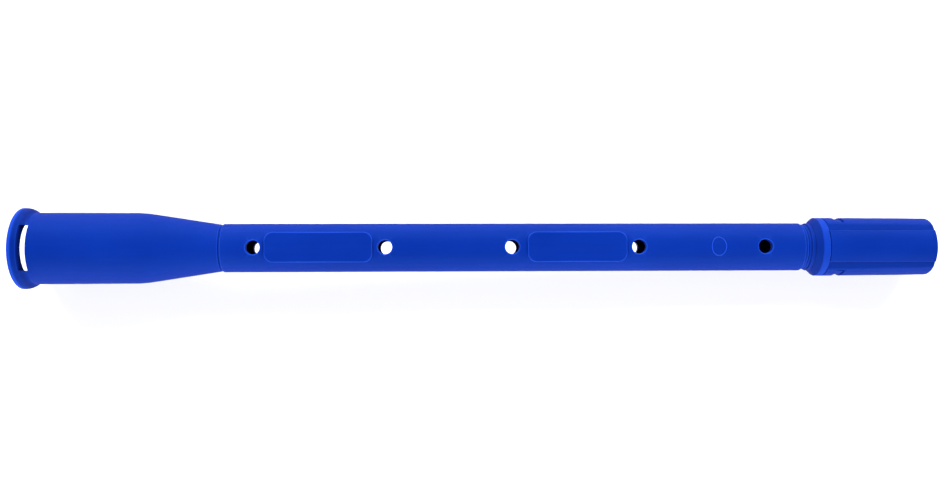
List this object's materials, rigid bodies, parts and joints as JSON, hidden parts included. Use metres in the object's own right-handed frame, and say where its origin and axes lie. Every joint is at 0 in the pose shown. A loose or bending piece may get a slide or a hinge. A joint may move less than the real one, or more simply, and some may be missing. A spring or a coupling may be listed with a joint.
{
  "type": "perforated hand tube",
  "caption": "Hollow moulded plastic hand tube: slotted bell cup with a flanged mouth, perforated barrel with raised label pads, chamfered collar and fluted twist grip.",
  "frame": {"origin": "middle of the whole length, on the tube's axis", "axes": "+X along the tube from the open mouth to the grip, +Z out of the label pads"},
  "size_m": [0.4056, 0.0362, 0.0362],
  "materials": {
    "cup_plastic": "cobalt blue moulded polypropylene, satin gloss",
    "barrel_plastic": "cobalt blue moulded polypropylene, satin gloss",
    "collar_plastic": "cobalt blue moulded polypropylene, satin gloss",
    "grip_plastic": "cobalt blue moulded polypropylene, satin gloss"
  },
  "bodies": {
    "tube": {"head_cup": "cup_plastic", "barrel_tube": "barrel_plastic", "end_collar": "collar_plastic"},
    "grip": {"fluted_grip": "grip_plastic"}
  },
  "joints": [
    {"name": "grip_twist", "type": "hinge", "parent": "tube", "child": "grip", "pos_m": [0.1607, 0, 0], "axis": [1, 0, 0], "range_deg": [-6, 6]}
  ]
}
